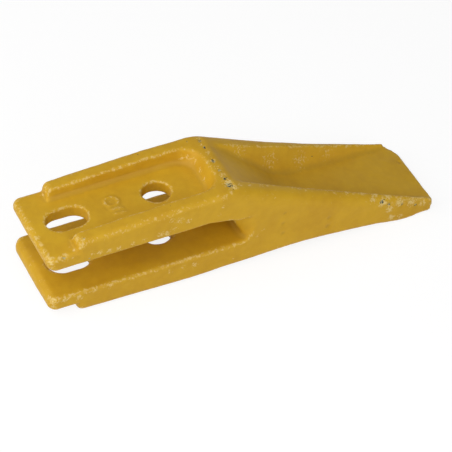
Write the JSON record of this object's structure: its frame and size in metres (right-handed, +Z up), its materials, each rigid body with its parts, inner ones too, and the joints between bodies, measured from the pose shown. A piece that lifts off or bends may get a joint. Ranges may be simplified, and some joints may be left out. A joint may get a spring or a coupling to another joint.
{
  "type": "bolt-on bucket tooth",
  "caption": "Cast fork-type bucket tooth: a jaw that slides over the bucket lip, bolt holes through both shanks, and a scooped blade with a flat tip.",
  "frame": {"origin": "on the axis of the round bolt hole, midway between the upper and the lower shank", "axes": "+X towards the tip, +Y across the tooth, +Z up along the round bolt hole"},
  "size_m": [0.3058, 0.072, 0.079],
  "materials": {
    "yellow_paint": "ochre-yellow enamel sprayed over a rough casting, chipped and worn through along the crest, the ridges and the tip"
  },
  "bodies": {
    "root": {"tooth": "yellow_paint"}
  },
  "joints": []
}
